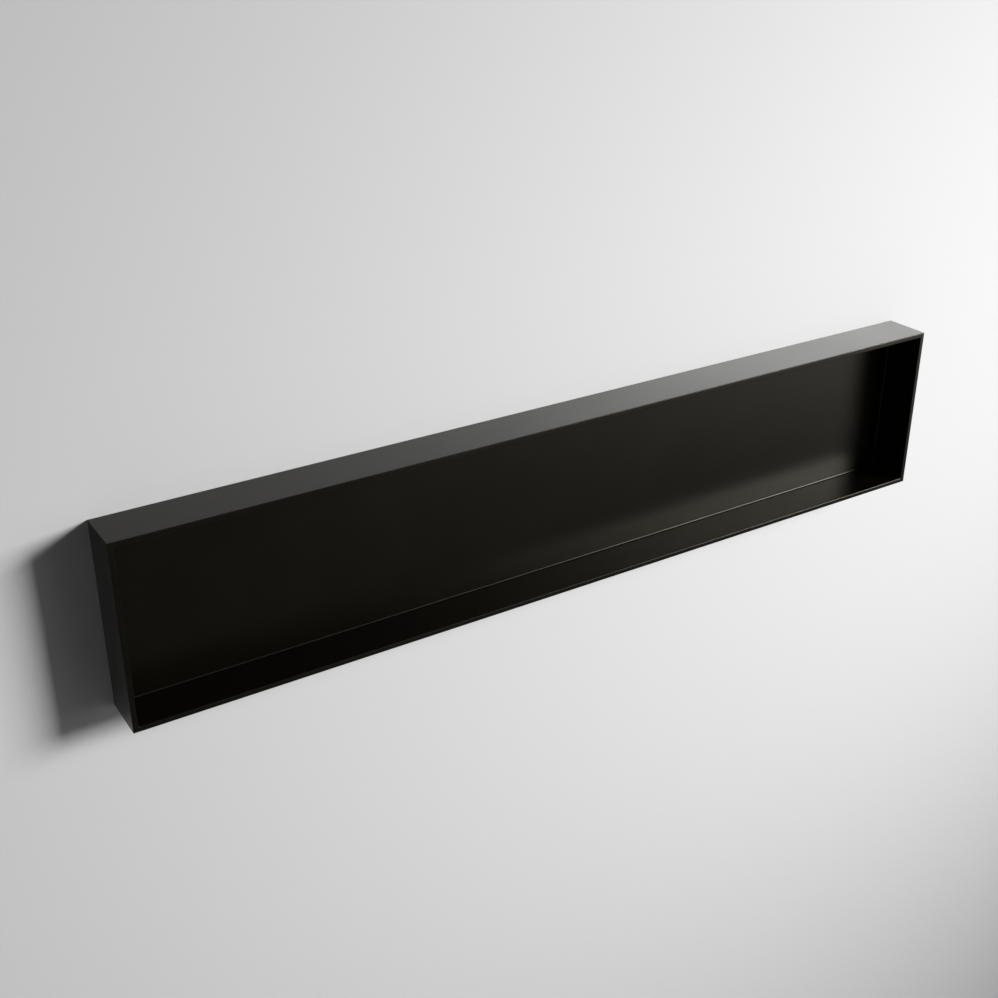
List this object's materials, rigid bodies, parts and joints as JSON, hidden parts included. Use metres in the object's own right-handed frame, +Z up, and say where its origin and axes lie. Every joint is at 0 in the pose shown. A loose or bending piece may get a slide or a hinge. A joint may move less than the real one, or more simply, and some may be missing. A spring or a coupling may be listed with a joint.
{
  "type": "shower niche insert",
  "caption": "Long shallow open-fronted box in matt black solid surface, bonded to a shower wall or set into it, whose floor carries bottles and soap.",
  "frame": {"origin": "middle of the back face, the face that is bonded to the wall", "axes": "+X to the right as seen from the front, along the length; +Y into the wall, square to the back face; +Z up; the opening faces -Y"},
  "size_m": [1.495, 0.08, 0.295],
  "materials": {
    "black_solid_surface": "satin"
  },
  "bodies": {
    "root": {"niche_box": "black_solid_surface"}
  },
  "joints": []
}
